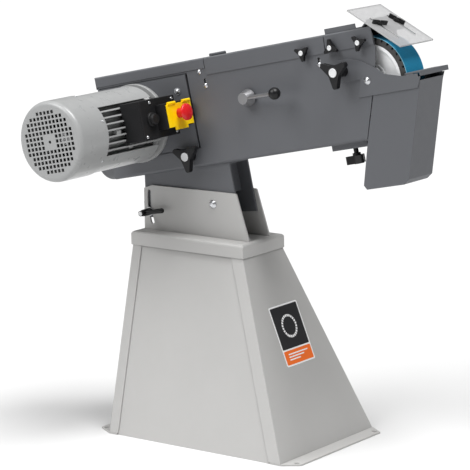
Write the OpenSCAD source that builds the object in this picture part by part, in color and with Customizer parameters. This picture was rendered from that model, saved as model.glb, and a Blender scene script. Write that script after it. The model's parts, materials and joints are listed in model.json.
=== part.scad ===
// Belt grinder on a sheet-metal pedestal: tilting head, contact wheel in front,
// platen under the top cover, motor and switch on the near (-Y) side.
// Millimetres, +Z up, +X towards the contact wheel. The origin is the centre of the
// four floor bolts, on the floor. Head parts are drawn level, then tilted as one.

/* [Stand] */
// Distance from the floor-bolt centre back to the stand's rear sheet
stand_back = 265; // [240:1:290]
// Distance from the floor-bolt centre forward to the foot of the front sheet
stand_front_foot = 272; // [250:1:300]
// Width of the stand at the floor
stand_foot_w = 400; // [360:1:460]
// Height of the top of the stand's cap
stand_h = 505; // [440:1:600]
// Width of the cap over the sheets
cap_w = 174; // [150:1:200]
// Front edge of the cap
cap_front = 86; // [70:1:110]
// Height of the cap's skirt
cap_skirt = 35; // [25:1:50]
// Thickness of the stand's sheet metal
sheet = 3; // [2:0.5:4]
// Width of the folded edge of the front sheet
front_fold = 36; // [25:1:45]
// Width of the folded edge of the rear sheet
rear_fold = 28; // [20:1:40]

/* [Feet] */
// Floor-bolt spacing along the machine
bolt_span_x = 596; // [570:1:640]
// Floor-bolt spacing across the machine
bolt_span_y = 336; // [300:1:360]
// Radius of a floor-bolt hole
bolt_hole_r = 6.5; // [5:0.5:9]
// Thickness of a foot plate
foot_t = 4; // [3:0.5:8]
// Metal between a bolt hole's centre and the outer edge of its foot
foot_edge = 15; // [12:1:25]

/* [Tilt] */
// Head tilt as stored, front up
tilt = 12; // [0:0.5:19]
// Height of the pivot above the cap
pivot_rise = 84; // [75:1:110]
// Place of the pivot along X
pivot_x = -36; // [-60:1:-10]
// Distance from the pivot to the clamp screw
clamp_r = 204; // [185:1:210]
// Level of the clamp screw, in degrees below the pivot, as stored
clamp_angle = 10.5; // [8:0.5:12]
// How far the head tips down from the stored place
tilt_down = 14; // [8:0.5:14]
// How far the head tips up from the stored place
tilt_up = 7.5; // [4:0.5:7.5]
// Radius of the pivot screw
pivot_r = 6; // [5:0.5:8]
// Radius of the clamp stud
clamp_stud_r = 4.5; // [4:0.5:6]
// Half the distance over the two cheeks
cheek_half = 45; // [40:1:55]
// Thickness of a cheek
cheek_t = 5; // [4:0.5:6]

/* [Housing] */
// Rear end of the arm, from the pivot
arm_back = 296; // [270:1:320]
// Front bottom corner of the arm, from the pivot
arm_front = 500; // [480:1:530]
// Level of the arm's underside above the pivot line
arm_low = 98; // [85:1:110]
// Level of the arm's top above the pivot line
arm_top = 363; // [355:1:380]
// Half the width over the arm's walls
wall_half = 50.5; // [48:0.5:60]
// Thickness of the arm's walls
wall = 3; // [2:0.5:4]
// Thickness of a cover's sheet
cover_t = 2; // [1.5:0.5:3]

/* [Belt drive] */
// Width of the abrasive belt
belt_w = 75; // [50:1:75]
// Thickness of the abrasive belt
belt_t = 1; // [0.6:0.1:2]
// Radius of the contact wheel over its tyre
wheel_r = 100; // [90:1:103]
// Radial thickness of the tyre
tyre_t = 15.5; // [8:0.5:20]
// Distance from the arm's front bottom corner forward to the wheel's axis
wheel_ahead = 35; // [25:1:45]
// Depth of the wheel's axis below the arm's top
wheel_drop = 124; // [118:1:132]
// Radius of the contact wheel's axle
axle_r = 10; // [8:0.5:12]
// Radius of the drive pulley
pulley_r = 79; // [65:1:85]
// Distance from the arm's rear end forward to the motor's axis
motor_ahead = 112; // [108:1:118]
// Depth of the motor's axis below the arm's top
motor_drop = 132; // [126:1:137]

/* [Motor] */
// Radius over the motor's fins
motor_r = 97; // [85:1:98]
// Radius of the motor's mounting flange
flange_r = 100; // [95:1:100]
// Length of the finned frame
frame_l = 219; // [160:1:240]
// Length of the fan cowl
cowl_l = 104; // [80:1:120]
// Radius of the motor shaft
shaft_r = 14; // [11:0.5:16]

/* [Guards] */
// Reach of the spark chute's front corner in front of the wheel axis
chute_reach = 144; // [135:1:160]
// Level of the spark chute's bottom
chute_low = -17; // [-60:1:0]
// Depth of the work rest's table
rest_l = 45; // [35:1:50]
// Width of the clear shield
shield_w = 140; // [110:1:160]
// Length of the clear shield
shield_l = 168; // [150:1:190]
// Thickness of the clear shield
shield_t = 4; // [3:0.5:6]

/* [Clearances] */
// Gap between flat faces that slide past each other
slip = 0.3; // [0.2:0.1:0.5]
// Radial gap of a shaft that turns in its bore
run = 0.05; // [0.02:0.01:0.1]
// Gap from the belt to the rims and plates it runs on
belt_gap = 0.7; // [0.6:0.1:1]

/* [Hidden] */
$fn = 64;

// Colours
light_paint = [0.76, 0.76, 0.75];
dark_paint = [0.36, 0.37, 0.39];
cast_grey = [0.72, 0.72, 0.72];
steel = [0.65, 0.66, 0.68];
black = [0.08, 0.08, 0.08];

// Derived sizes of the stand
pivot_z = stand_h + pivot_rise;
cap_low = stand_h - cap_skirt;
cap_bend = 8;
side_at_cap = cap_w / 2 - sheet;
front_at_cap = cap_front - sheet;
front_slope = (stand_front_foot - front_at_cap) / cap_low;
side_slope = (stand_foot_w / 2 - side_at_cap) / cap_low;
front_secant = sqrt(1 + front_slope * front_slope);
side_secant = sqrt(1 + side_slope * side_slope);
body_top = stand_h - cap_bend;
seam_lap = 15;
foot_out = bolt_span_x / 2 + foot_edge;
foot_in = 240;
cheek_in = cheek_half - cheek_t;
cheek_top = pivot_z + 33;
slot_w = 2 * clamp_stud_r + 1;
slot_spare = 0.2;

// Derived sizes of the head
wheel_u = arm_front + wheel_ahead;
wheel_w = arm_top - wheel_drop;
motor_u = motor_ahead - arm_back;
motor_w = arm_top - motor_drop;
neck_half = cheek_in - slip - 0.1;
neck_t = 5;
neck_front = 70;
neck_back = clamp_r + 1;
clamp_u = -clamp_r * cos(tilt - clamp_angle);
clamp_w = clamp_r * sin(tilt - clamp_angle);
wall_in = wall_half - wall;
wall_top = arm_top - 18;
bend_r = 8;
cover_out = wall_half + slip + cover_t;
cover_edge = arm_top - 43;
cover_split = 61;
cover_lean = 3.5;
hood_back = wheel_u - 103;
front_u = wheel_u + 35;
plate_low = arm_low + 49;
plate_right = -6;
plate_back = arm_back - 6;
knob_w = cover_edge + 10;

spigot_r = 60;
spigot_rise = spigot_r - 1;

// Derived sizes of the belt drive
belt_half = belt_w / 2;
axle_span = sqrt(pow(wheel_u - motor_u, 2) + pow(wheel_w - motor_w, 2));
line_angle = atan2(wheel_w - motor_w, wheel_u - motor_u);
wedge_angle = asin((wheel_r - pulley_r) / axle_span);
upper_normal = line_angle + wedge_angle + 90;
lower_normal = line_angle - wedge_angle - 90;
pinion_u = wheel_u - 355;
pinion_w = wheel_w + 8;
gear_module = 2;
pinion_teeth = 10;
pinion_pitch_r = gear_module * pinion_teeth / 2;
rack_line = pinion_w - pinion_pitch_r;
arm_out = wall_in - 1;
arm_t = 8;
arm_in = arm_out - arm_t;
arm_bottom = wheel_w - 17;
arm_upper = wheel_w + 17;
tension_shaft_r = 7;
boss_out = wall_half + 5.5;

// Derived sizes of the guards
guard_u = wheel_u - 1;
guard_w = wheel_w - 1;
guard_r = 71.5;
guard_lock_angle = 152.5;
guard_swing = 8;
guard_in = wall_half + slip;
guard_t = 2.5;
guard_front = wheel_u + chute_reach + 4;
rest_top = wheel_w + 1.5;
rest_back = guard_front + 1 - rest_l;
rest_t = 4;
shield_u = wheel_u - 10;
shield_z = arm_top + 46;
shield_slope = 38.9;
shield_slot_y = 36;
shield_slot_from = 46;
shield_slot_to = 137;
shield_knob_s = 75;
hood_travel = 14;
lock_u = guard_u + guard_r * cos(guard_lock_angle);
lock_w = guard_w + guard_r * sin(guard_lock_angle);

// Derived places of screws, door and latch
cover_screw = hood_back - 63;
hood_screws = [wheel_u - 81, wheel_u + 1];
rear_screw_w = arm_top - 33;
rear_screw_u = cover_split - 21;
plate_screw_u = plate_right - 32;
plate_screw_w = motor_w + 61;
plate_knob_u = plate_right - 27;
plate_knob_w = arm_low + 31;
bracket_screw_u = hood_back + 38;
bracket_screw_y = 25;
tracking_u = wheel_u - 100;
tracking_y = -10;
platen_screw_places = [[wheel_u - 482, arm_top - 69], [wheel_u - 130, arm_top - 68]];
door_hinge_u = hood_back + 14;
hinge_places = [arm_low + 32, arm_top - 93];
door_in = wall_half + slip;
door_t = 2;
latch_u = -arm_back + 12;
latch_w = arm_low + 120;

// Derived sizes of the motor, its terminal box and the switch
motor_face = wall_half + 1;
frame_from = motor_face + 24;
frame_to = frame_from + frame_l;
cowl_to = frame_to - 8 + cowl_l;
bearing_r = 26;
rotor_r = 50;
fan_r = motor_r - 17;
core_r = motor_r - 18;
bore_r = motor_r - 27;
box_back = motor_u + motor_r - 8;
box_near = frame_from + 2.5;
box_far = box_near + 137;
box_low = motor_w - 42;
box_high = motor_w + 56;
lid_out = box_back + 63;
switch_front = lid_out + 32;
button_w = motor_w + 9;
stop_y = -box_near - 34;
start_y = -box_near - 6;
switch_far = -box_near - 80;
switch_near = -box_near + 18;
flap_hinge_w = button_w + 28;
gland_y = -box_far + 35;
gland_w = motor_w + 7;

// Derived sizes of the wheel and the tension lever
rim_r = wheel_r - tyre_t;
wheel_bearing_r = 21;
tooth_foot = 1.35;
tooth_tip = 0.5;
tooth_h = 4;
lever_l = 104;
lever_rake = 13.4;

// ---- Helpers ----

// Stretches a flat XZ drawing from y0 to y1.
module slab(y0, y1) {
    translate([0, y1, 0]) rotate([90, 0, 0]) linear_extrude(y1 - y0) children();
}

// Stretches a flat YZ drawing from x0 to x1.
module bar(x0, x1) {
    translate([x0, 0, 0]) rotate([90, 0, 90]) linear_extrude(x1 - x0) children();
}

// A round bar along Y.
module rod_y(u, w, r, y0, y1) {
    translate([u, y1, w]) rotate([90, 0, 0]) cylinder(r = r, h = y1 - y0);
}

// A round bar along the arm.
module rod_u(y, w, r, u0, u1) {
    translate([u0, y, w]) rotate([0, 90, 0]) cylinder(r = r, h = u1 - u0);
}

// A block between two corners.
module block(a, b) {
    translate(a) cube(b - a);
}

// Places level-drawn head parts on the pivot, tilted.
module on_head() {
    translate([pivot_x, 0, pivot_z]) rotate([0, -tilt, 0]) children();
}

// Places a turned part, drawn along +Z, on the motor's axis with +Z pointing to -Y.
module on_motor() {
    on_head() translate([motor_u, 0, motor_w]) rotate([90, 0, 0]) children();
}

// A ring between two radii.
module ring(r_in, r_out, h) {
    difference() {
        cylinder(r = r_out, h = h);
        translate([0, 0, -1]) cylinder(r = r_in, h = h + 2);
    }
}

// A slot with round ends, cut along a line.
module slot_2d(length, width) {
    translate([-length / 2, 0]) circle(d = width);
    translate([length / 2, 0]) circle(d = width);
    square([length, width], center = true);
}

// Points of an arc of radius r about c, from angle a to angle b.
function arc(c, r, a, b, steps) = [
    for (i = [0:steps]) c + r * [cos(a + (b - a) * i / steps), sin(a + (b - a) * i / steps)]
];

// A curved slot about the origin, from angle a to angle b, with round ends.
module arc_slot_2d(r, a, b, width) {
    half = width / 2;
    polygon(concat(
        arc([0, 0], r + half, a, b, 12),
        arc(r * [cos(b), sin(b)], half, b + 15, b + 165, 10),
        arc([0, 0], r - half, b, a, 12),
        arc(r * [cos(a), sin(a)], half, a + 195, a + 345, 10)
    ));
}

// Outline of a three-lobed knob whose lobes reach radius r.
module lobes_2d(r) {
    tip = 0.17 * r;
    circle(r = 0.42 * r);
    for (a = [90, 210, 330]) rotate(a) {
        translate([r - tip, 0]) circle(r = tip);
        polygon([[0, 0.41 * r], [r - tip, tip], [r - tip, -tip], [0, -0.41 * r]]);
    }
}

// A three-lobed knob on a stud: it stands on z = 0 and its stud goes to -stud_l.
module star_knob(r, h, neck_h, stud_r, stud_l) {
    translate([0, 0, neck_h]) linear_extrude(h) lobes_2d(r);
    cylinder(r = 0.36 * r, h = neck_h + 1);
    translate([0, 0, neck_h + h - 1]) cylinder(r = 0.34 * r, h = 2);
    translate([0, 0, -stud_l]) cylinder(r = stud_r, h = stud_l + 1);
}

// Stands a knob on the near side of the head at (u, w), its foot at distance y.
module knob_at(u, w, y) {
    on_head() translate([u, -y, w]) rotate([90, 0, 0]) children();
}

// A low round screw head with its shank, standing on z = 0.
module round_screw(head_r, head_h, shank_r, shank_l) {
    rotate_extrude() difference() {
        intersection() {
            translate([0, head_h - head_r * 1.3]) circle(r = head_r * 1.3);
            square([head_r, head_h]);
        }
        polygon([[0, head_h + 1], [0, head_h - 1.5], [head_r * 0.35, head_h - 1.5],
            [head_r * 0.35, head_h + 1]]);
    }
    translate([0, 0, -shank_l]) cylinder(r = shank_r, h = shank_l + 0.5);
}

// ---- Stand ----

// Front line of the stand's sheets at height z.
function front_x(z) = stand_front_foot - front_slope * z;

// Solid shape of the stand, drawn in from its outer faces.
module stand_solid(inset) {
    front_in = inset * front_secant;
    side_in = inset * side_secant;
    foot_half = stand_foot_w / 2 - side_in;
    top_half = stand_foot_w / 2 - side_slope * body_top - side_in;
    intersection() {
        slab(-stand_foot_w, stand_foot_w) polygon([
            [-stand_back + inset, 0], [front_x(0) - front_in, 0],
            [front_x(body_top) - front_in, body_top], [-stand_back + inset, body_top]
        ]);
        bar(-2 * stand_back, 2 * stand_front_foot) polygon([
            [-foot_half, 0], [foot_half, 0], [top_half, body_top], [-top_half, body_top]
        ]);
    }
}

// One sheet's thickness of the stand, at the given depth.
module stand_skin(depth) {
    difference() {
        stand_solid(depth);
        stand_solid(depth + sheet);
    }
}

module stand_front() {
    color(light_paint) intersection() {
        stand_skin(0);
        slab(-stand_foot_w, stand_foot_w) polygon([
            [front_x(foot_t) - front_fold, foot_t], [front_x(foot_t) + 1, foot_t],
            [front_x(body_top) + 1, body_top], [front_x(body_top) - front_fold, body_top]
        ]);
    }
}

module stand_rear() {
    color(light_paint) intersection() {
        stand_skin(0);
        block([-stand_back - 1, -stand_foot_w, foot_t],
            [-stand_back + rear_fold, stand_foot_w, body_top]);
    }
}

module stand_sides() {
    side_top = cap_low + 12;
    color(light_paint) difference() {
        intersection() {
            stand_skin(sheet);
            slab(-stand_foot_w, stand_foot_w) polygon([
                [-stand_back + rear_fold - seam_lap, 0],
                [front_x(0) - front_fold + seam_lap, 0],
                [front_x(side_top) - front_fold + seam_lap, side_top],
                [-stand_back + rear_fold - seam_lap, side_top]
            ]);
        }
        feet_plates(0);
    }
}

// A profile with a flat foot and rounded upper corners, centred on x = 0.
module rounded_top_2d(width, height, r) {
    translate([-width / 2, 0]) square([width, height - r]);
    translate([-width / 2 + r, 0]) square([width - 2 * r, height]);
    for (side = [-1, 1]) translate([side * (width / 2 - r), height - r]) circle(r = r);
}

// Solid shape of the cap, drawn in from its outer faces.
module cap_solid(inset) {
    length = cap_front + stand_back + sheet;
    intersection() {
        translate([cap_front - length / 2, 0, cap_low])
            slab(-cap_w, cap_w)
            rounded_top_2d(length - 2 * inset, cap_skirt - inset, cap_bend - inset);
        translate([0, 0, cap_low])
            bar(-2 * stand_back, 2 * stand_front_foot)
            rounded_top_2d(cap_w - 2 * inset, cap_skirt - inset, cap_bend - inset);
    }
}

module stand_cap() {
    color(light_paint) difference() {
        cap_solid(0);
        cap_solid(sheet);
    }
}

// One foot plate under a sheet whose foot is at x = edge.
module foot_plate(edge, hole_r) {
    half = stand_foot_w / 2;
    tip_half = bolt_span_y / 2 + foot_edge - 11;
    linear_extrude(foot_t) difference() {
        polygon([
            [foot_in, -half], [edge, -half], [foot_out, -tip_half],
            [foot_out, tip_half], [edge, half], [foot_in, half]
        ]);
        if (hole_r > 0) for (y = [-1, 1])
            translate([bolt_span_x / 2, y * bolt_span_y / 2]) circle(r = hole_r);
    }
}

// Both foot plates, with holes of the given radius or none.
module feet_plates(hole_r) {
    foot_plate(stand_front_foot, hole_r);
    mirror([1, 0, 0]) foot_plate(stand_back, hole_r);
}

module feet() {
    color(light_paint) feet_plates(bolt_hole_r);
}

module cheeks() {
    back = pivot_x - clamp_r - 17;
    color(light_paint) for (y = [-cheek_half, cheek_in]) difference() {
        slab(y, y + cheek_t) polygon([
            [back, stand_h], [back + 1, cheek_top - 12], [back + 8, cheek_top - 9],
            [back + 28, cheek_top - 2], [pivot_x + 70, cheek_top], [pivot_x + 73, cheek_top - 2],
            [cap_front - 12, stand_h]
        ]);
        rod_y(pivot_x, pivot_z, pivot_r, y - 1, y + cheek_t + 1);
        translate([pivot_x, 0, pivot_z]) slab(y - 1, y + cheek_t + 1)
            arc_slot_2d(clamp_r, 180 + clamp_angle - tilt_down - slot_spare,
                180 + clamp_angle + tilt_up + slot_spare, slot_w);
    }
}

module pivot_screw() {
    color(steel) translate([pivot_x, 0, pivot_z]) rotate([90, 0, 0]) {
        translate([0, 0, cheek_half]) round_screw(11, 6, pivot_r, 2 * cheek_half + 11);
        translate([0, 0, -cheek_half - 10]) linear_extrude(10) difference() {
            circle(r = 10.5, $fn = 6);
            circle(r = pivot_r);
        }
    }
}

// ---- Head: frame and fixed parts ----

module neck() {
    color(dark_paint) on_head() {
        for (y = [-neck_half, neck_half - neck_t]) difference() {
            slab(y, y + neck_t) polygon([
                [-neck_back, arm_low], [-neck_back - 7, arm_low - 38], [-neck_back - 19, 30],
                [-neck_back - 19, 0], [-neck_back - 7, -10], [-neck_back + 15, -13],
                [neck_front, -38], [neck_front, arm_low]
            ]);
            rod_y(0, 0, pivot_r + run, y - 1, y + neck_t + 1);
            rod_y(clamp_u, clamp_w, clamp_stud_r, y - 1, y + neck_t + 1);
        }
        for (x = [-neck_back, 30])
            block([x, -neck_half + neck_t, 20], [x + neck_t, neck_half - neck_t, arm_low]);
        block([-neck_back, -neck_half + neck_t, arm_low - neck_t],
            [neck_front, neck_half - neck_t, arm_low]);
        difference() {
            rod_y(0, 0, pivot_r + 6, -neck_half + neck_t, neck_half - neck_t);
            rod_y(0, 0, pivot_r + run, -neck_half, neck_half);
        }
    }
}

// Side outline of the arm's walls.
module arm_outline_2d() {
    polygon([
        [-arm_back, arm_low], [arm_front, arm_low], [arm_front + 38, arm_low + 103],
        [arm_front + 60, arm_low + 166], [arm_front + 71, arm_top - 58],
        [arm_front + 70, wall_top], [-arm_back, wall_top]
    ]);
}

// Cross-section of the folded channel, drawn in by the given depth.
module channel_2d(inset) {
    half = wall_half - inset;
    r = bend_r - inset;
    low = arm_low + inset;
    translate([-half, low + r]) square([2 * half, arm_top - low - r]);
    translate([-half + r, low]) square([2 * (half - r), 2 * r]);
    for (side = [-1, 1]) translate([side * (half - r), low + r]) circle(r = r);
}

module housing() {
    color(dark_paint) on_head() {
        difference() {
            intersection() {
                slab(-wall_half, wall_half) arm_outline_2d();
                bar(-arm_back, arm_front + 80) channel_2d(0);
            }
            bar(-arm_back + wall, arm_front + 81) channel_2d(wall);
            // opening behind the motor plate
            block([-plate_back, -wall_half - 1, plate_low - 4], [0, 0, arm_top - 30]);
            // belt-change opening in the far wall
            block([-arm_back + 21, 0, arm_low + 20], [door_hinge_u - 26, wall_half + 1,
                arm_top - 41]);
            // hose opening in the rear wall
            rod_u(0, arm_low + spigot_rise, spigot_r - 9, -arm_back - 1, -arm_back + wall + 1);
            rod_y(pinion_u, pinion_w, tension_shaft_r + run, -wall_half - 1, 0);
            for (side = [-1, 1]) rod_y(guard_u, guard_w, 5,
                side > 0 ? 0 : -wall_half - 1, side > 0 ? wall_half + 1 : 0);
            lock_hole(5);
            rod_y(plate_knob_u, plate_knob_w, 5, -wall_half - 1, 0);
            for (u = hood_screws) rod_y(u, knob_w, 4, -wall_half - 1, 0);
            block([cover_screw - 6, -wall_half - 1, knob_w - 5], [cover_screw + 6, 0, arm_top]);
            rod_y(rear_screw_u, rear_screw_w, 3, -wall_half - 1, 0);
            rod_y(latch_u, latch_w, 7, 0, wall_half + 1);
            for (p = platen_screw_places) translate([p[0], 0, p[1]])
                slab(-wall_half - 1, 0) translate([0, 7]) rotate(90) slot_2d(14, 7);
            translate([tracking_u, tracking_y, arm_low - 1]) cylinder(r = 6 + run, h = wall + 2);
        }
        // bearing boss of the tension lever
        difference() {
            rod_y(pinion_u, pinion_w, 16, -boss_out, -wall_half);
            rod_y(pinion_u, pinion_w, tension_shaft_r + run, -boss_out - 1, -wall_half + 1);
        }
        // screw bracket under the arm's nose
        difference() {
            block([tracking_u - 53, -32, arm_low - 14], [tracking_u + 51, 32, arm_low]);
            block([tracking_u - 56, -29, arm_low - 11], [tracking_u + 48, 29, arm_low + 1]);
            translate([tracking_u, tracking_y, arm_low - 15]) cylinder(r = 6 + run, h = 5);
        }
    }
}

// Hole in both walls for the guard's lock screws.
module lock_hole(r) {
    rod_y(lock_u, lock_w, r, -wall_half - 1, wall_half + 1);
}

module motor_plate() {
    color(dark_paint) on_head() difference() {
        union() {
            block([-plate_back, -wall_half - 1, plate_low], [plate_right, -wall_in, arm_top - 33]);
            block([-plate_back, -wall_in, plate_low - 10], [plate_right, -wall_in + 5, arm_top - 20]);
        }
        rod_y(motor_u, motor_w, 35, -wall_half - 2, 0);
        rod_y(plate_screw_u, plate_screw_w, 4, -wall_half - 2, 0);
    }
}

// A folded cover: a flat top with two sides that reach down to the level low.
module folded_cover(u0, u1, low) {
    difference() {
        bar(u0, u1) polygon([
            [-cover_out, low], [-cover_out, arm_top - 3], [-cover_out + 3, arm_top],
            [cover_out - 3, arm_top], [cover_out, arm_top - 3], [cover_out, low]
        ]);
        bar(u0 - 1, u1 + 1) polygon([
            [-cover_out + cover_t, low - 1], [-cover_out + cover_t, arm_top - 3.5],
            [-cover_out + 3.5, arm_top - cover_t], [cover_out - 3.5, arm_top - cover_t],
            [cover_out - cover_t, arm_top - 3.5], [cover_out - cover_t, low - 1]
        ]);
    }
}

module rear_cover() {
    color(dark_paint) on_head() {
        folded_cover(-arm_back, cover_split - 1, rear_screw_w + 7);
        block([-arm_back - cover_t, -cover_out, cover_edge + 12], [-arm_back, cover_out, arm_top]);
    }
}

// Draws children along the belt's upper run: x from the drive end, z = 0 on the belt.
module on_upper_run() {
    on_head() translate([motor_u, 0, motor_w]) rotate([0, -(line_angle + wedge_angle), 0])
        translate([0, 0, pulley_r + belt_gap]) children();
}

module platen() {
    side_y = wall_in - 1;
    to = axle_span - 129;
    from = to - 352;
    color(steel) difference() {
        union() {
            on_upper_run() {
                block([from, -belt_half - 1, -7], [to, belt_half + 1, -1]);
                block([from, -side_y, -7], [to, -belt_half - 1, -3]);
                for (u = [from, to - 20]) block([u, -side_y, -30], [u + 20, -side_y + 3, -7]);
            }
            for (p = platen_screw_places) on_head()
                block([p[0] - 20, -side_y, p[1] - 14], [p[0] + 20, -side_y + 3, p[1] + 12]);
        }
        for (p = platen_screw_places) on_head() rod_y(p[0], p[1], 3, -wall_half, -side_y + 4);
    }
}

module housing_screws() {
    color(steel) {
        for (p = platen_screw_places) knob_at(p[0], p[1], wall_half) round_screw(6, 4, 3, 6);
        knob_at(plate_screw_u, plate_screw_w, wall_half + 1) {
            translate([0, 0, 1.5]) round_screw(6, 4, 4, 8.5);
            ring(4, 9, 1.5);
        }
        knob_at(rear_screw_u, rear_screw_w, wall_half) round_screw(6, 4, 3, 4);
        for (side = [-1, 1]) on_head() translate([guard_u, side * wall_half, guard_w])
            rotate([-side * 90, 0, 0]) {
                translate([0, 0, guard_t + 2 * slip]) round_screw(9, 4.5, 5, guard_t + 3.5);
            }
        on_head() translate([lock_u, wall_half, lock_w]) rotate([-90, 0, 0])
            translate([0, 0, guard_t + 2 * slip]) round_screw(9, 4, 5, guard_t + 3.5);
    }
}

module extraction_spigot() {
    color(dark_paint) on_head() translate([-arm_back - 40, 0, arm_low + spigot_rise])
        rotate([0, 90, 0]) ring(spigot_r - 3, spigot_r, 40);
}

module clamp_stud() {
    out = cheek_half + 4;
    color(steel) on_head() {
        rod_y(clamp_u, clamp_w, clamp_stud_r, -out - 12, out + 10);
        for (side = [-1, 1]) translate([clamp_u, side * (cheek_half + slip), clamp_w])
            rotate([-side * 90, 0, 0]) ring(clamp_stud_r, 11, 3);
        translate([clamp_u, out + 8, clamp_w]) rotate([90, 0, 0]) linear_extrude(8) difference() {
            circle(r = 9, $fn = 6);
            circle(r = clamp_stud_r);
        }
    }
}

module arm_guides() {
    color(steel) on_head() for (u = [pinion_u + 75, pinion_u + 215])
        for (low = [arm_bottom - slip - 9, arm_upper + slip])
            block([u, -wall_in, low], [u + 45, -arm_in, low + 9]);
}

// The belt's outline, open between the wheels: outside at `out` from the rims.
function belt_outline(out) = concat(
    arc([wheel_u, wheel_w], wheel_r + out, lower_normal, upper_normal, 72),
    arc([motor_u, motor_w], pulley_r + out, upper_normal, 360 + lower_normal, 72)
);

module abrasive_belt() {
    color([0, 0.41, 0.6]) on_head() slab(-belt_half, belt_half) difference() {
        polygon(belt_outline(belt_gap + belt_t));
        polygon(belt_outline(belt_gap));
    }
}

// ---- Head: motor and switch ----

module motor_end_shields() {
    color(cast_grey) on_motor() {
        difference() {
            union() {
                translate([0, 0, motor_face]) cylinder(r = flange_r, h = 12);
                translate([0, 0, motor_face + 12]) cylinder(r1 = core_r + 5, r2 = core_r, h = 12);
            }
            translate([0, 0, motor_face - 1]) cylinder(r = 60, h = 11);
            translate([0, 0, motor_face]) cylinder(r = bearing_r, h = 40);
        }
        translate([0, 0, frame_to]) difference() {
            cylinder(r = motor_r - 9, h = 7);
            translate([0, 0, -1]) cylinder(r = bearing_r, h = 9);
        }
    }
}

module motor_frame() {
    color(cast_grey) difference() {
        on_motor() translate([0, 0, frame_from]) linear_extrude(frame_l) frame_2d();
        on_head() block([box_back, -box_far - 1, box_low - 1],
            [box_back + 60, -box_near + 1, box_high + 1]);
    }
}

// Cross-section of the finned frame: a tube, smooth pads above and below, side fins.
module frame_2d() {
    fin_gap = 16;
    pad_from = motor_r - 37;
    difference() {
        union() {
            circle(r = core_r);
            difference() {
                circle(r = motor_r);
                translate([-motor_r, -pad_from]) square([2 * motor_r, 2 * pad_from]);
            }
            intersection() {
                circle(r = motor_r);
                for (i = [-3:3]) translate([-motor_r, i * fin_gap - 2]) square([2 * motor_r, 4]);
            }
        }
        circle(r = bore_r);
    }
}

module stator() {
    color([0.5, 0.35, 0.2]) on_motor() translate([0, 0, frame_from + 50]) ring(rotor_r + 0.6, bore_r, 110);
}

module motor_bearings() {
    color(steel) on_motor() {
        translate([0, 0, motor_face + 10]) ring(shaft_r + run, bearing_r, 14);
        translate([0, 0, frame_to - 6]) ring(shaft_r + run, bearing_r, 13);
    }
}

module fan_cowl() {
    out = motor_r + 3;
    hole = 8;
    pitch = 12;
    edge_r = 12;
    reach = out - edge_r - 2;
    color(cast_grey) on_motor() translate([0, 0, cowl_to]) {
        rotate_extrude($fn = 96) difference() {
            union() {
                translate([0, -cowl_l]) square([out, cowl_l - edge_r]);
                translate([0, -edge_r - 1]) square([out - edge_r, edge_r + 1]);
                translate([out - edge_r, -edge_r]) circle(r = edge_r);
            }
            translate([-1, -cowl_l - 1]) square([out - 1, cowl_l - edge_r + 1]);
            translate([-1, -edge_r - 1]) square([out - edge_r, edge_r + 2]);
            translate([out - edge_r, -edge_r]) circle(r = edge_r - 2);
        }
        translate([0, 0, -2]) linear_extrude(2) difference() {
            circle(r = out - edge_r);
            for (i = [-7:7], j = [-7:7])
                if (norm([i, j]) * pitch + hole * 0.7 < reach && max(abs(i), abs(j)) > 1)
                    translate([i * pitch, j * pitch]) square(hole, center = true);
            circle(r = 4);
        }
    }
}

module terminal_box() {
    color(black) on_head() difference() {
        block([box_back, -box_far, box_low], [lid_out - 4, -box_near, box_high]);
        block([box_back + 3, -box_far + 3, box_low + 3], [lid_out, -box_near - 3, box_high - 3]);
    }
}

module terminal_lid() {
    color(black) on_head()
        block([lid_out - 4, -box_far, box_low], [lid_out, -box_near, box_high]);
}

module cable_gland() {
    color(black) on_head() {
        rod_u(gland_y, gland_w, 15, lid_out, lid_out + 8);
        rod_u(gland_y, gland_w, 11, lid_out + 8, lid_out + 16);
    }
}

module switch_box() {
    color(black) on_head() difference() {
        block([lid_out, switch_far, button_w - 33], [switch_front, switch_near, button_w + 30]);
        block([switch_front - 12, switch_far + 6, button_w - 29],
            [switch_front + 1, switch_near - 6, button_w + 24]);
        rod_u(start_y, button_w, 9 + run, switch_front - 26, switch_front);
    }
}

module start_button() {
    color([0.1, 0.55, 0.2]) on_head() rod_u(start_y, button_w, 9, switch_front - 20, switch_front - 2);
}

module switch_flap() {
    back = switch_front + slip;
    color([1, 0.88, 0]) on_head() difference() {
        union() {
            block([back, switch_far + 2, button_w - 31],
                [back + 4, switch_near - 2, button_w + 26]);
            block([back, stop_y - 22, button_w - 39], [back + 4, stop_y + 26, button_w - 31]);
            for (y = [stop_y - 40, stop_y + 18]) rod_y(back + 4, flap_hinge_w, 4, y, y + 28);
        }
        rod_u(stop_y, button_w, 12 + run, switch_front - 1, switch_front + 7);
    }
}

module stop_mushroom() {
    dome_u = switch_front + 24;
    color([0.9, 0.08, 0.1]) on_head() {
        rod_u(stop_y, button_w, 12, switch_front - 3, dome_u + 1);
        translate([dome_u, stop_y, button_w]) rotate([0, 90, 0]) rotate_extrude() intersection() {
            translate([0, -26]) circle(r = 38);
            square([21, 14]);
        }
    }
}

// ---- Head: turning and sliding parts ----

module rotor() {
    color(steel) on_motor() {
        translate([0, 0, -belt_half - 5]) cylinder(r = shaft_r, h = frame_to + 45 + belt_half);
        translate([0, 0, frame_from + 50]) cylinder(r = rotor_r, h = 110);
    }
}

module cooling_fan() {
    blades = 8;
    color(black) on_motor() translate([0, 0, frame_to + 10]) {
        ring(shaft_r, 24, 28);
        ring(22, fan_r, 3);
        for (i = [0:blades - 1]) rotate(i * 360 / blades)
            translate([23, -1.5, 2]) cube([fan_r - 23, 3, 26]);
    }
}

module drive_pulley() {
    color(steel) on_motor() translate([0, 0, -belt_half - 1]) {
        ring(pulley_r - 9, pulley_r, belt_w + 2);
        ring(shaft_r, pulley_r - 8, 12);
        ring(shaft_r, 30, 50);
    }
}

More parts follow.
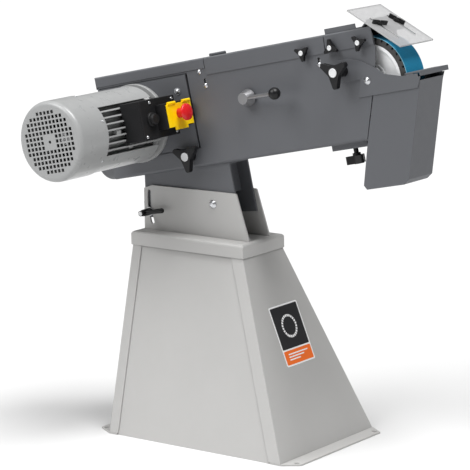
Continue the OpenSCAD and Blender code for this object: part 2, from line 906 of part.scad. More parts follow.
module tension_pinion() {
    root = pinion_pitch_r - 2.4;
    color(steel) on_head() {
        rod_y(pinion_u, pinion_w, tension_shaft_r, -boss_out - 12, -arm_in);
        translate([pinion_u, 0, pinion_w]) slab(-arm_out, -arm_in) {
            circle(r = root);
            for (i = [0:pinion_teeth - 1]) rotate(i * 360 / pinion_teeth) polygon([
                [-tooth_foot - 0.4, root - 2], [-tooth_tip, root + tooth_h],
                [tooth_tip, root + tooth_h], [tooth_foot + 0.4, root - 2]
            ]);
        }
    }
}

// Upper edge of the rack, from right to left, one tooth between each two of the pinion's.
function rack_edge(root) = [
    for (i = [6:-1:-6], p = [[tooth_foot, 0], [tooth_tip, tooth_h], [-tooth_tip, tooth_h],
        [-tooth_foot, 0]]) [pinion_u + (i + 0.5) * PI * gear_module + p[0], root + p[1]]
];

module wheel_arm() {
    root = rack_line - 2.4;
    back = pinion_u - 40;
    step = pinion_u + 44;
    color(steel) on_head() difference() {
        slab(-arm_out, -arm_in) {
            polygon(concat([[back, root], [back, arm_bottom], [wheel_u, arm_bottom],
                [wheel_u, arm_upper], [step, arm_upper], [step, root]], rack_edge(root)));
            translate([wheel_u, wheel_w]) circle(r = arm_upper - wheel_w + 0.01);
        }
        rod_y(wheel_u, wheel_w, axle_r, -arm_out - 1, 0);
    }
}

module wheel_axle() {
    color(steel) on_head() {
        rod_y(wheel_u, wheel_w, axle_r, -arm_out, belt_half);
        rod_y(wheel_u, wheel_w, axle_r + 3, belt_half - 8, belt_half - 2);
    }
}

// Places a turned part on the contact wheel's axis, +Z pointing to -Y.
module on_wheel() {
    on_head() translate([wheel_u, 0, wheel_w]) rotate([90, 0, 0]) children();
}

module wheel_hub() {
    color([0.85, 0.86, 0.87]) on_wheel() {
        translate([0, 0, -belt_half + 0.5]) ring(rim_r - 8, rim_r, belt_w - 1);
        translate([0, 0, 20]) ring(wheel_bearing_r, rim_r - 7, 8);
        translate([0, 0, -belt_half + 12]) ring(wheel_bearing_r, 31, belt_w - 14);
    }
}

module wheel_tyre() {
    notches = 36;
    color([0.2, 0.2, 0.2]) on_wheel() translate([0, 0, -belt_half]) difference() {
        ring(rim_r, wheel_r, belt_w);
        for (i = [0:notches - 1]) rotate(i * 360 / notches)
            translate([wheel_r - 6, -2.5, -1]) cube([8, 5, belt_w + 2]);
    }
}

module wheel_bearings() {
    color(steel) on_wheel() for (z = [-belt_half + 12, belt_half - 16])
        translate([0, 0, z]) ring(axle_r + run, wheel_bearing_r, 14);
}

module tension_lever() {
    color(steel) on_head() translate([pinion_u, -boss_out - slip, pinion_w]) difference() {
        union() {
            rotate([90, 0, 0]) cylinder(r1 = 21.5, r2 = 14, h = 24);
            translate([0, -15, 0]) rotate([0, 0, -lever_rake]) rotate([0, 90, 0])
                cylinder(r = 5, h = lever_l);
        }
        translate([0, 1, 0]) rotate([90, 0, 0])
            cylinder(r = tension_shaft_r, h = 13 - slip);
    }
}

module lever_ball() {
    color(black) on_head() translate([pinion_u, -boss_out - slip - 15, pinion_w])
        rotate([0, 0, -lever_rake]) difference() {
            translate([lever_l + 11, 0, 0]) sphere(r = 15);
            rotate([0, 90, 0]) cylinder(r = 5, h = lever_l);
        }
}

module clamp_lever() {
    hub = cheek_half + slip + 3;
    color(black) on_head() translate([clamp_u, -hub - slip, clamp_w]) difference() {
        union() {
            rotate([90, 0, 0]) {
                cylinder(r1 = 9.5, r2 = 8.5, h = 28);
                translate([0, 0, 28]) cylinder(r = 7, h = 9);
            }
            translate([0, -20, 0]) rotate([0, 92, 6]) {
                cylinder(r1 = 5, r2 = 6.5, h = 52);
                translate([0, 0, 52]) sphere(r = 6.5);
            }
        }
        translate([0, 1, 0]) rotate([90, 0, 0]) cylinder(r = clamp_stud_r + run, h = 15);
    }
}

module belt_door() {
    color(dark_paint) on_head() {
        difference() {
            union() {
                block([-arm_back + slip, door_in, arm_low + 8],
                    [door_hinge_u - 9, door_in + door_t, arm_top - 46]);
                for (w = hinge_places) block([door_hinge_u - 12, door_in, w],
                    [door_hinge_u, door_in + door_t, w + 30]);
            }
            rod_y(latch_u, latch_w, 6 + run, 0, wall_half + 10);
        }
        for (w = hinge_places) translate([door_hinge_u, door_in + 5, w])
            cylinder(r = 5, h = 30);
    }
}

module door_latch() {
    color(black) on_head() translate([latch_u, door_in, latch_w]) rotate([-90, 0, 0]) {
        translate([0, 0, -2]) cylinder(r = 6, h = 5);
        translate([0, 0, door_t + slip]) cylinder(r = 14, h = 4);
        translate([-4, -12, door_t + slip + 3]) cube([8, 24, 10]);
    }
}

module platen_cover() {
    color(dark_paint) on_head() difference() {
        union() {
            folded_cover(cover_split + 1, hood_back - 1, cover_edge);
            rod_y(cover_split + 7, arm_top + 3, 4, -30, 30);
        }
        // the sides lean back, so the front edge clears the hood as it swings up
        slab(-cover_out - 1, cover_out + 1) polygon([
            [hood_back, arm_top + 1], [hood_back - 1, arm_top + 1],
            [hood_back - 1 - cover_lean, cover_edge - 1], [hood_back, cover_edge - 1]
        ]);
        rod_y(cover_screw, knob_w, 3.8 + run, -cover_out - 1, 0);
    }
}

module wheel_hood() {
    color(dark_paint) on_head() difference() {
        folded_cover(hood_back, front_u, cover_edge);
        for (u = hood_screws) translate([u - hood_travel / 2, 0, knob_w])
            slab(-cover_out - 1, 0) slot_2d(hood_travel, 8.4);
        for (y = [-1, 1]) translate([bracket_screw_u, y * bracket_screw_y, arm_top - 5])
            cylinder(r = 2.5, h = 10);
    }
}

module shield_bracket() {
    t = 2.5;
    color(dark_paint) on_head() {
        difference() {
            block([hood_back + 1, -46, arm_top], [hood_back + 91, 46, arm_top + t]);
            for (y = [-1, 1]) translate([bracket_screw_u, y * bracket_screw_y, arm_top - 5])
            cylinder(r = 2.5, h = 10);
        }
        block([hood_back + 1, -46, arm_top], [hood_back + 91, -46 + t, arm_top + 13]);
        for (y = [-1, 1]) translate([bracket_screw_u, y * bracket_screw_y, arm_top + t])
            cylinder(r = 4.5, h = 3);
        // arm that rises to the shield
        slab(-46, 46) polygon([
            [hood_back + 91, arm_top], [hood_back + 110, arm_top],
            [hood_back + 128, arm_top + 12], [hood_back + 127, arm_top + 15],
            [hood_back + 109, arm_top + t], [hood_back + 91, arm_top + t]
        ]);
    }
    on_shield() color(dark_paint) difference() {
        block([44, -46, -shield_t / 2 - slip - t], [100, 46, -shield_t / 2 - slip]);
        for (y = [-1, 1]) translate([shield_knob_s, y * shield_slot_y, -20])
            cylinder(r = 3.2, h = 40);
    }
}

// Draws children on the shield: x runs down its slope from the upper edge.
module on_shield() {
    on_head() translate([shield_u, 0, shield_z]) rotate([0, shield_slope, 0]) children();
}

module shield() {
    middle = (shield_slot_from + shield_slot_to) / 2;
    color([0.8, 0.85, 0.88, 0.4]) on_shield() translate([0, 0, -shield_t / 2])
        linear_extrude(shield_t) difference() {
            translate([0, -shield_w / 2]) square([shield_l, shield_w]);
            for (y = [-1, 1]) translate([middle, y * shield_slot_y])
                slot_2d(shield_slot_to - shield_slot_from - 7, 7);
        }
}

// A wing knob that clamps the shield through one slot.
module wing_knob() {
    translate([0, 0, shield_t / 2 + slip]) {
        cylinder(r = 8, h = 7);
        for (side = [-1, 1]) translate([side * 12, 0, 5]) cube([18, 5, 10], center = true);
    }
    translate([0, 0, -shield_t / 2 - slip - 4]) cylinder(r = 3, h = shield_t + 5);
}

module shield_knob_near() {
    color(black) on_shield() translate([shield_knob_s, -shield_slot_y, 0]) rotate(70) wing_knob();
}

module shield_knob_far() {
    color(black) on_shield() translate([shield_knob_s, shield_slot_y, 0]) rotate(15) wing_knob();
}

// ---- Knobs ----

// A cover's knob, turned as it was left; its stud ends flush with the wall's inside.
module small_knob(u, turn) {
    color(black) knob_at(u, knob_w, cover_out + slip) rotate(turn)
        star_knob(21, 9, 6, 3.8, cover_out + slip - wall_in);
}

module cover_knob() { small_knob(cover_screw, 180); }

module hood_knob_rear() { small_knob(hood_screws[0], 0); }

module hood_knob_front() { small_knob(hood_screws[1], 40); }

module big_knob(neck_h) { star_knob(40, 14, neck_h, 5 - run, 12); }

module motor_plate_knob() {
    color(black) knob_at(plate_knob_u, plate_knob_w, wall_half + slip) rotate(180) big_knob(14);
}

module guard_knob() {
    color(black) knob_at(lock_u, lock_w, guard_in + guard_t + slip) rotate(55) big_knob(28);
}

module tracking_knob() {
    color(black) on_head() translate([tracking_u, tracking_y, arm_low - 26]) mirror([0, 0, 1]) {
        star_knob(28, 20, 6, 6, 27);
    }
}

// ---- Spark guard ----

module guard_plates() {
    front = guard_front;
    lock_top = lock_w + 26;
    color(dark_paint) on_head() for (y = [-guard_in - guard_t, guard_in]) difference() {
        slab(y, y + guard_t) polygon([
            [lock_u - 12, lock_w - 27], [guard_u - 19, guard_w + 6], [guard_u - 34, wheel_w - 37],
            [front - 13, wheel_w - 37], [front, rest_top - 13], [front - 6.5, rest_top - 13],
            [front - 6.5, rest_top - 5.5], [front - 50, rest_top - 5.5],
            [guard_u + 52, guard_w + 9], [guard_u + 33, guard_w + 24],
            [guard_u - 8, guard_w + 49], [lock_u + 22, lock_top], [lock_u - 12, lock_top]
        ]);
        rod_y(guard_u, guard_w, 5 + run, y - 1, y + guard_t + 1);
        translate([guard_u, 0, guard_w]) slab(y - 1, y + guard_t + 1)
            arc_slot_2d(guard_r, guard_lock_angle - guard_swing - 1, guard_lock_angle, 10.4);
    }
}

module chute_outline_2d(inset) {
    low = chute_low + inset;
    top_front = wheel_u + chute_reach;
    polygon([
        [arm_front + 3 + inset, arm_low + 3], [arm_front - 33 + inset * 1.1, low + 11],
        [arm_front - 26 + inset, low], [arm_front + 82 - inset * 0.5, low],
        [arm_front + 98 - inset, low + 10], [top_front - inset, wheel_w - 20],
        [top_front - inset, wheel_w + 1],
        [wheel_u + 12 + inset, wheel_w + 1], [wheel_u + 6 + inset, wheel_w - 38]
    ]);
}

module spark_chute() {
    t = guard_t;
    color(dark_paint) on_head() difference() {
        slab(-guard_in, guard_in) chute_outline_2d(0);
        slab(-guard_in + t, guard_in - t) union() {
            chute_outline_2d(t);
            // the rear stays open towards the arm
            polygon([[arm_front - 4, arm_low + 6], [arm_front + 20, arm_low + 6],
                [wheel_u + 25, wheel_w + 2], [wheel_u - 1, wheel_w + 2]]);
        }
        block([arm_front - 60, -100, wheel_w - 34], [wheel_u + 120, 100, wheel_w + 61]);
        block([wheel_u + 100, -100, wheel_w - 20], [wheel_u + 200, 100, wheel_w + 61]);
    }
}

module work_rest() {
    far = guard_in + guard_t + 17;
    near = guard_in - slip;
    color(dark_paint) on_head() {
        block([rest_back, -near, rest_top - rest_t], [guard_front + 1, far, rest_top]);
        block([guard_front - 3, -near, rest_top - 12], [guard_front + 1, far, rest_top]);
        for (y = [-near, near - guard_t])
            block([rest_back + 4, y, rest_top - 18], [rest_back + 24, y + guard_t, rest_top]);
    }
}

stand_front();
stand_rear();
stand_sides();
stand_cap();
feet();
cheeks();
pivot_screw();
neck();
housing();
motor_plate();
rear_cover();
platen();
housing_screws();
extraction_spigot();
clamp_stud();
arm_guides();
abrasive_belt();
motor_end_shields();
motor_frame();
stator();
motor_bearings();
fan_cowl();
terminal_box();
terminal_lid();
cable_gland();
switch_box();
rotor();
cooling_fan();
drive_pulley();
wheel_arm();
wheel_axle();
wheel_hub();
wheel_tyre();
wheel_bearings();
tension_lever();
lever_ball();
tension_pinion();
clamp_lever();
belt_door();
door_latch();
platen_cover();
wheel_hood();
shield_bracket();
shield();
cover_knob();
hood_knob_rear();
hood_knob_front();
shield_knob_near();
shield_knob_far();
motor_plate_knob();
guard_knob();
tracking_knob();
guard_plates();
spark_chute();
work_rest();
switch_flap();
stop_mushroom();
start_button();
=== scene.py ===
import json
import math
import bmesh
import bpy
from mathutils import Matrix, Vector


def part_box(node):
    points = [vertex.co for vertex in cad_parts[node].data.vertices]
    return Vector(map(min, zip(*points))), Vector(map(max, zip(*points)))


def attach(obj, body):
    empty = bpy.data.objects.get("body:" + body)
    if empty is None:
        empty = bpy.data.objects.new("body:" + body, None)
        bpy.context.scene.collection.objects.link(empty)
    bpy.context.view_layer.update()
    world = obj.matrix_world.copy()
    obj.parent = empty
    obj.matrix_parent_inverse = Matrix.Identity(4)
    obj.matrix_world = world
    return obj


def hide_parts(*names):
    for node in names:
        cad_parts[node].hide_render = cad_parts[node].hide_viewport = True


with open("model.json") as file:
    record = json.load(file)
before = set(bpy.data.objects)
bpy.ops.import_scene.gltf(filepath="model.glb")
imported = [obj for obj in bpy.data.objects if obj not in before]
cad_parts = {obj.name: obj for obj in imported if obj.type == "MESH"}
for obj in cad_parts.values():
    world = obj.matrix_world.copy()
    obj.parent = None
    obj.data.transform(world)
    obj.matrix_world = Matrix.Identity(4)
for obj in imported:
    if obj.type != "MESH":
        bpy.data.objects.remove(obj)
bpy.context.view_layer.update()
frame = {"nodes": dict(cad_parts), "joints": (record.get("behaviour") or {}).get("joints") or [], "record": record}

nodes = frame["nodes"]

# ---- Camera ----
# A long lens from the motor side, a little above the machine, as in a catalogue view.

camera_azimuth = math.radians(36.74)
camera_height_angle = math.radians(11.13)
camera_roll = math.radians(-1.1)
camera_distance = 6.393
camera_target = Vector((0.05, 0.0, 0.55))

back = Vector((math.sin(camera_azimuth) * math.cos(camera_height_angle),
               -math.cos(camera_azimuth) * math.cos(camera_height_angle),
               math.sin(camera_height_angle)))
right = Vector((math.cos(camera_azimuth), math.sin(camera_azimuth), 0.0))
up = back.cross(right)
rolled_right = right * math.cos(camera_roll) + up * math.sin(camera_roll)
rolled_up = up * math.cos(camera_roll) - right * math.sin(camera_roll)
camera = bpy.data.objects.new("camera", bpy.data.cameras.new("camera"))
camera.data.lens = 196.9
camera.data.sensor_width = 36.0
camera.data.shift_x = -0.0356
camera.data.shift_y = -0.0315
camera.data.clip_end = 100.0
camera.matrix_world = Matrix.Translation(camera_target + back * camera_distance) @ Matrix(
    (rolled_right, rolled_up, back)).transposed().to_4x4()
bpy.context.scene.collection.objects.link(camera)
bpy.context.scene.camera = camera

# ---- Studio ----
# A pale floor that runs out of sight, a broad soft key from the motor side and a soft
# light from above; the sky adds a little fill.


def sun(name, toward, strength, softness):
    """A broad distant lamp that shines from the direction toward."""
    lamp = bpy.data.lights.new(name, "SUN")
    lamp.energy = strength
    lamp.angle = math.radians(softness)
    thing = bpy.data.objects.new(name, lamp)
    thing.matrix_world = Vector(toward).to_track_quat("Z", "Y").to_matrix().to_4x4()
    bpy.context.scene.collection.objects.link(thing)


sun("key_lamp", (-0.35, -0.62, 0.7), 2.3, 40.0)
sun("top_lamp", (0.3, -0.05, 0.95), 3.6, 30.0)

world = bpy.data.worlds.new("studio")
bpy.context.scene.world = world
world.use_nodes = True
world.node_tree.nodes["Background"].inputs["Color"].default_value = (1.0, 1.0, 1.0, 1.0)
world.node_tree.nodes["Background"].inputs["Strength"].default_value = 0.12
bpy.context.scene.view_settings.view_transform = "Standard"


class Tree:
    """Shorthand for building a node tree: nodes are added, set and linked by name."""

    def __init__(self, tree):
        self.tree = tree

    def add(self, kind, values=None, **settings):
        """Adds a node, sets its properties, and sets or links its inputs."""
        node = self.tree.nodes.new(kind)
        for key, value in settings.items():
            setattr(node, key, value)
        for key, value in (values or {}).items():
            if isinstance(value, bpy.types.NodeSocket):
                self.tree.links.new(value, node.inputs[key])
            else:
                node.inputs[key].default_value = value
        return node

    def math(self, operation, a, b=0.0):
        """A Math node's result."""
        return self.add("ShaderNodeMath", {0: a, 1: b}, operation=operation).outputs[0]

    def spread(self, value, low, high, to_low=0.0, to_high=1.0):
        """A value stretched from one span to another and held inside it."""
        return self.add("ShaderNodeMapRange", {
            "Value": value, "From Min": low, "From Max": high,
            "To Min": to_low, "To Max": to_high}).outputs["Result"]

    def mix(self, factor, a, b):
        """Two colours mixed; the Mix node keeps its colours at fixed places."""
        first_colour, second_colour, mixed_colour = 6, 7, 2
        node = self.add("ShaderNodeMix", {"Factor": factor, first_colour: a,
                                          second_colour: b}, data_type="RGBA")
        return node.outputs[mixed_colour]


def new_material(name, base, roughness, metallic=0.0, **constants):
    """A Principled material and its tree; constants are set on the shader's own sockets."""
    material = bpy.data.materials.new(name)
    material.use_nodes = True
    material.diffuse_color = base
    tree = Tree(material.node_tree)
    shader = material.node_tree.nodes["Principled BSDF"]
    shader.inputs["Base Color"].default_value = base
    shader.inputs["Roughness"].default_value = roughness
    shader.inputs["Metallic"].default_value = metallic
    for key, value in constants.items():
        shader.inputs[key.replace("_", " ")].default_value = value
    return material, tree, shader


def surface_group():
    """Colour drift, fine relief and settled dust that all finishes of this machine share."""
    broad_scale, patch_scale, patch_share = 7.0, 46.0, 0.5
    dust_colour, dust_from_slope, dust_patches = (0.62, 0.6, 0.56, 1.0), 0.35, (0.35, 0.75)
    patch_roughness, dust_roughness = 0.18, 0.5
    group = bpy.data.node_groups.new("surface_detail", "ShaderNodeTree")
    sockets = (("Colour", "INPUT", "NodeSocketColor"), ("Drift", "INPUT", "NodeSocketFloat"),
               ("Grain size", "INPUT", "NodeSocketFloat"), ("Dust", "INPUT", "NodeSocketFloat"),
               ("Roughness", "INPUT", "NodeSocketFloat"),
               ("Colour", "OUTPUT", "NodeSocketColor"),
               ("Roughness", "OUTPUT", "NodeSocketFloat"),
               ("Height", "OUTPUT", "NodeSocketFloat"))
    for name, side, kind in sockets:
        group.interface.new_socket(name, in_out=side, socket_type=kind)
    tree = Tree(group)
    given = group.nodes.new("NodeGroupInput").outputs
    place = tree.add("ShaderNodeTexCoord").outputs["Object"]
    broad = tree.add("ShaderNodeTexNoise", {"Vector": place, "Scale": broad_scale,
                                             "Detail": 4.0})
    patchy = tree.add("ShaderNodeTexNoise", {"Vector": place, "Scale": patch_scale,
                                             "Detail": 3.0})
    cells = tree.math("DIVIDE", 1.0, given["Grain size"])
    grain = tree.add("ShaderNodeTexNoise", {"Vector": place, "Scale": cells, "Detail": 2.0})
    drift = tree.math("ADD", tree.math("SUBTRACT", broad.outputs["Fac"], 0.5),
                      tree.math("MULTIPLY", tree.math(
                          "SUBTRACT", patchy.outputs["Fac"], 0.5), patch_share))
    shade = tree.math("ADD", 1.0, tree.math("MULTIPLY", drift, given["Drift"]))
    brightness = tree.add("ShaderNodeHueSaturation", {
        "Value": shade, "Color": given["Colour"]}).outputs["Color"]
    facing = tree.add("ShaderNodeSeparateXYZ", {
        0: tree.add("ShaderNodeNewGeometry").outputs["Normal"]}).outputs["Z"]
    settled = tree.math("MULTIPLY", tree.spread(facing, dust_from_slope, 1.0),
                        tree.spread(patchy.outputs["Fac"], *dust_patches))
    dust = tree.math("MULTIPLY", settled, given["Dust"])
    dusty = tree.mix(dust, brightness, dust_colour)
    rough = tree.math("ADD", given["Roughness"], tree.math("ADD", tree.math(
        "MULTIPLY", tree.math("SUBTRACT", patchy.outputs["Fac"], 0.5), patch_roughness),
        tree.math("MULTIPLY", dust, dust_roughness)))
    tree.add("NodeGroupOutput", {"Colour": dusty, "Roughness": rough,
                                 "Height": grain.outputs["Fac"]})
    return group


surface_detail = surface_group()


def finish(name, base, roughness, drift=0.08, grain=0.0006, relief=0.1, dust=0.05,
           metallic=0.0, depth=0.0002, **constants):
    """A finish made of the shared surface detail over one base colour."""
    base = (*base, 1.0)
    material, tree, shader = new_material(name, base, roughness, metallic, **constants)
    detail = tree.add("ShaderNodeGroup", node_tree=surface_detail)
    for key, value in (("Colour", base), ("Drift", drift), ("Grain size", grain),
                       ("Dust", dust), ("Roughness", roughness)):
        detail.inputs[key].default_value = value
    bump = tree.add("ShaderNodeBump", {"Height": detail.outputs["Height"],
                                       "Strength": relief, "Distance": depth})
    for output, key in ((detail.outputs["Colour"], "Base Color"),
                        (detail.outputs["Roughness"], "Roughness"),
                        (bump.outputs["Normal"], "Normal")):
        material.node_tree.links.new(output, shader.inputs[key])
    return material


floor_paint = finish("floor_paint", (0.64, 0.64, 0.64), 0.8, drift=0.01, relief=0.02, dust=0.0)
floor_mesh = bpy.data.meshes.new("floor")
floor_reach = 30.0
floor_corners = ((-1, -1), (1, -1), (1, 1), (-1, 1))
floor_mesh.from_pydata([(x * floor_reach, y * floor_reach, 0.0) for x, y in floor_corners],
                       [], [(0, 1, 2, 3)])
floor_mesh.materials.append(floor_paint)
studio_floor = bpy.data.objects.new("studio_floor", floor_mesh)
bpy.context.scene.collection.objects.link(studio_floor)


# ---- Pedestal ----
# Four folded steel sheets welded to a tapered box, a cap over them and two foot plates,
# all powder-coated light grey. The cheeks that carry the arm are welded on the cap.


def paint(material, *names):
    """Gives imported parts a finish."""
    for name in names:
        mesh = nodes[name].data
        mesh.materials.clear()
        mesh.materials.append(material)


def body_with(node):
    """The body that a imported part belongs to."""
    for body, members in frame["record"]["behaviour"]["bodies"].items():
        if node in members:
            return body
    raise KeyError(node)


def applied(thing):
    """Turns an object's modifiers into its plain mesh."""
    bpy.context.view_layer.update()
    done = bpy.data.meshes.new_from_object(
        thing.evaluated_get(bpy.context.evaluated_depsgraph_get()))
    thing.modifiers.clear()
    thing.data = done
    return thing


def rounded(node, material, edge=0.0006, steps=2, angle=30.0):
    """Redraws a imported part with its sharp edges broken, in a finish."""
    mesh = bpy.data.meshes.new(node + "_rounded")
    shape = bmesh.new()
    shape.from_mesh(nodes[node].data)
    bmesh.ops.remove_doubles(shape, verts=shape.verts, dist=2e-6)
    bmesh.ops.dissolve_limit(shape, angle_limit=math.radians(0.6), verts=shape.verts,
                             edges=shape.edges)
    shape.to_mesh(mesh)
    shape.free()
    for part in mesh.polygons:
        part.use_smooth = True
    mesh.materials.clear()
    mesh.materials.append(material)
    thing = bpy.data.objects.new(node + "_rounded", mesh)
    bpy.context.scene.collection.objects.link(thing)
    bevel = thing.modifiers.new("edges", "BEVEL")
    bevel.width = edge
    bevel.segments = steps
    bevel.limit_method = "ANGLE"
    bevel.angle_limit = math.radians(angle)
    weighted = thing.modifiers.new("normals", "WEIGHTED_NORMAL")
    weighted.weight = 90
    weighted.keep_sharp = False
    applied(thing)
    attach(thing, body_with(node))
    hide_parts(node)
    return thing


light_powder = finish("light_powder", (0.425, 0.421, 0.413), 0.42, drift=0.05,
                      grain=0.0009, relief=0.22, dust=0.06)
for node in ("stand_front", "stand_rear", "stand_sides", "stand_cap", "feet", "cheeks"):
    rounded(node, light_powder, edge=0.0009)

zinc = finish("zinc", (0.62, 0.63, 0.65), 0.32, drift=0.12, grain=0.0005, relief=0.15,
              dust=0.04, metallic=1.0)
rounded("pivot_screw", zinc, edge=0.0003)
paint(zinc, "clamp_stud")

# ---- Arm and covers ----
# Folded and welded sheet, powder-coated dark grey with a fine orange peel. The covers
# are thin lids of the same sheet, held by knobs. The platen and the guides of the wheel's
# arm are bright ground steel inside.

dark_powder = finish("dark_powder", (0.098, 0.102, 0.112), 0.55, drift=0.08, grain=0.0008,
                     relief=0.25, dust=0.1)
for node in ("neck", "housing", "motor_plate", "rear_cover", "extraction_spigot", "belt_door",
             "platen_cover", "wheel_hood", "shield_bracket", "guard_plates", "spark_chute",
             "work_rest"):
    rounded(node, dark_powder, edge=0.0007)
turned_steel = finish("turned_steel", (0.56, 0.56, 0.57), 0.28, drift=0.1, grain=0.0003,
                      relief=0.25, dust=0.0, metallic=1.0)
paint(turned_steel, "platen", "arm_guides")
paint(zinc, "housing_screws")

# ---- Motor ----
# Cast aluminium frame and end shields and a pressed cowl, in light grey enamel; a steel
# rotor between copper windings inside, and the belt's drive pulley on its shaft.

motor_enamel = finish("motor_enamel", (0.34, 0.345, 0.345), 0.3, drift=0.06, grain=0.0012,
                      relief=0.22, dust=0.06)
copper = finish("copper", (0.45, 0.2, 0.1), 0.4, drift=0.3, grain=0.001, relief=0.4,
                dust=0.0, metallic=1.0)
for node in ("motor_end_shields", "motor_frame"):
    rounded(node, motor_enamel, edge=0.0008)
paint(motor_enamel, "fan_cowl")
paint(copper, "stator")
paint(turned_steel, "motor_bearings", "rotor", "drive_pulley")

# ---- Plastic parts ----
# Moulded parts: black boxes, fan and knobs with a fine texture, the yellow flap, the red
# stop button and the green start button with a glossier skin. The tension lever beside
# its black ball is dull plated steel.

black_plastic = finish("black_plastic", (0.012, 0.012, 0.013), 0.5, drift=0.2,
                       grain=0.0007, relief=0.25, dust=0.02, Specular_IOR_Level=0.25)
knob_plastic = finish("knob_plastic", (0.008, 0.008, 0.009), 0.34, drift=0.2, grain=0.0006,
                      relief=0.12, dust=0.015, Specular_IOR_Level=0.3)
yellow_plastic = finish("yellow_plastic", (0.95, 0.62, 0.0), 0.33, drift=0.05,
                        grain=0.0007, relief=0.08, dust=0.03)
red_plastic = finish("red_plastic", (0.62, 0.012, 0.015), 0.25, drift=0.05, grain=0.0006,
                     relief=0.05, dust=0.03)
green_plastic = finish("green_plastic", (0.02, 0.3, 0.06), 0.3, drift=0.05, grain=0.0006,
                       relief=0.05, dust=0.03)
for node in ("terminal_box", "terminal_lid", "switch_box", "door_latch"):
    rounded(node, black_plastic, edge=0.0016)
paint(black_plastic, "cable_gland", "cooling_fan")
star_knobs = ("cover_knob", "hood_knob_rear", "hood_knob_front", "motor_plate_knob",
              "guard_knob", "tracking_knob")
for node in star_knobs + ("shield_knob_near", "shield_knob_far", "clamp_lever"):
    rounded(node, knob_plastic, edge=0.0014, steps=3)
paint(knob_plastic, "lever_ball")
lever_steel = finish("lever_steel", (0.3, 0.3, 0.31), 0.42, drift=0.15, grain=0.0004,
                     relief=0.15, dust=0.0, metallic=0.85)
rounded("tension_lever", lever_steel, edge=0.0012)
rounded("switch_flap", yellow_plastic, edge=0.0012, steps=3)
rounded("stop_mushroom", red_plastic, edge=0.0015, steps=3)
rounded("start_button", green_plastic, edge=0.001)

# ---- Knob caps ----
# Light grey snap-in caps with a turned rim in the middle of each knob and at the end of
# the clamp lever's hub.

head_tilt = math.radians(12.0)
head_axis = Vector((math.cos(head_tilt), 0.0, math.sin(head_tilt)))
head_rise = Vector((-head_axis.z, 0.0, head_axis.x))
pivot = Vector(next(row["pos_m"] for row in frame["joints"] if row["name"] == "head_tilt"))
toward_motor = Vector((0.0, -1.0, 0.0))


def on_arm(along, across, rise):
    """A place on the arm, in millimetres along it, across it and above its pivot line."""
    return pivot + head_axis * along / 1000 + toward_motor * -across / 1000 \
        + head_rise * rise / 1000


def turned(name, profile, place, axis, material, body, steps=48):
    """A turned piece: a radius and height profile in millimetres, spun about an axis."""
    shape = bmesh.new()
    rings = []
    for radius, height in profile:
        if radius == 0:
            rings.append([shape.verts.new((0.0, 0.0, height / 1000))])
        else:
            rings.append([shape.verts.new((radius / 1000 * math.cos(turn),
                                           radius / 1000 * math.sin(turn), height / 1000))
                          for turn in (math.tau * step / steps for step in range(steps))])
    for low, high in zip(rings, rings[1:]):
        for step in range(steps):
            after = (step + 1) % steps
            corners = [low[step % len(low)], low[after % len(low)],
                       high[after % len(high)], high[step % len(high)]]
            shape.faces.new(list(dict.fromkeys(corners)))
    bmesh.ops.recalc_face_normals(shape, faces=shape.faces)
    mesh = bpy.data.meshes.new(name)
    shape.to_mesh(mesh)
    shape.free()
    mesh.transform(Matrix.Translation(place)
                   @ Vector(axis).to_track_quat("Z", "Y").to_matrix().to_4x4())
    mesh.materials.append(material)
    for face in mesh.polygons:
        face.use_smooth = True
    mesh.set_sharp_from_angle(angle=math.radians(35))
    thing = bpy.data.objects.new(name, mesh)
    bpy.context.scene.collection.objects.link(thing)
    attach(thing, body)
    return thing


cap_plastic = finish("cap_plastic", (0.72, 0.73, 0.74), 0.3, drift=0.12, grain=0.0008,
                     relief=0.1, dust=0.0)


def cap_profile(radius, rise):
    """A shallow dished cap with a rounded rim."""
    return [(0, -1.0), (radius, -1.0), (radius, rise - 0.8), (radius - 0.3, rise - 0.3),
            (radius - 0.9, rise), (radius - 1.6, rise - 0.2), (radius * 0.62, rise - 0.6),
            (radius * 0.3, rise - 0.7), (0, rise - 0.7)]


small_cap, large_cap, lever_cap = 6.2, 11.0, 5.6
cap_radius = {"cover_knob": small_cap, "hood_knob_rear": small_cap,
              "hood_knob_front": small_cap, "clamp_lever": lever_cap}
tracking_face = on_arm(435.0, -10.0, 51.0)
for node in star_knobs + ("clamp_lever",):
    body = body_with(node)
    if node == "tracking_knob":
        place, axis = tracking_face, -head_rise
    else:
        place = Vector(next(row["pos_m"] for row in frame["joints"] if row["child"] == body))
        place.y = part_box(node)[0].y
        axis = toward_motor
    turned(node + "_cap", cap_profile(cap_radius.get(node, large_cap), 1.2), place, axis,
           cap_plastic, body)

# ---- Small screws ----
# Zinc-plated pan-head screws with a small recess, set by Geometry Nodes: one head is
# repeated on the points where the lid of the terminal box and the cowl are screwed.


def screw_head():
    """One screw head of unit radius: a domed disc with a round recess for the driver."""
    shape = bmesh.new()
    steps = 24
    recess_width, recess_floor = 0.7, 0.28
    rows = ((1.0, -0.2), (1.0, 0.25), (0.9, 0.42), (0.62, 0.58), (0.3, 0.62))
    rings = [[shape.verts.new((radius * math.cos(math.tau * step / steps),
                               radius * math.sin(math.tau * step / steps), height))
              for step in range(steps)] for radius, height in rows]
    for low, high in zip(rings, rings[1:]):
        for step in range(steps):
            after = (step + 1) % steps
            shape.faces.new((low[step], low[after], high[after], high[step]))
    floor = [shape.verts.new((vert.co.x * recess_width, vert.co.y * recess_width,
                              recess_floor)) for vert in rings[-1]]
    for step in range(steps):
        after = (step + 1) % steps
        shape.faces.new((rings[-1][step], rings[-1][after], floor[after], floor[step]))
    shape.faces.new(floor)
    mesh = bpy.data.meshes.new("screw_head")
    shape.to_mesh(mesh)
    shape.free()
    return bpy.data.objects.new("screw_head", mesh)


